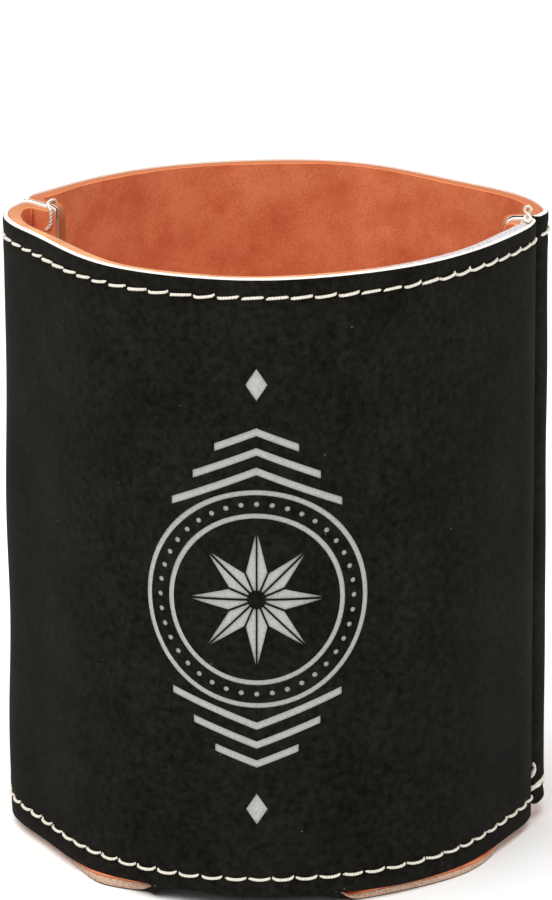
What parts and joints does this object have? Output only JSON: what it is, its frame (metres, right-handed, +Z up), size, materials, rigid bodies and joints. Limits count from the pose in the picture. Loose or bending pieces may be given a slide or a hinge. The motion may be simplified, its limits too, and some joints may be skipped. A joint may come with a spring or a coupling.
{
  "type": "can cooler sleeve",
  "caption": "Soft open-topped insulating sleeve for a drinks can, in black leatherette with a bright lining, side seams, topstitched edges and an engraved geometric ornament.",
  "frame": {"origin": "on the floor, in the middle of the base's underside, under the pocket's axis", "axes": "+Z up out of the pocket's mouth; the engraved front panel faces -Y; the side seams are near +X and -X"},
  "size_m": [0.0803, 0.0731, 0.096],
  "materials": {
    "leatherette": "matte, with a fine suede-like nap and a pale cut edge",
    "lining": "matte",
    "thread": "matte twisted thread"
  },
  "bodies": {
    "root": {"cover": "leatherette", "lining": "lining", "front_top_stitching": "thread", "front_bottom_stitching": "thread", "back_top_stitching": "thread", "back_bottom_stitching": "thread", "right_seam_stitching": "thread", "left_seam_stitching": "thread"}
  },
  "joints": []
}
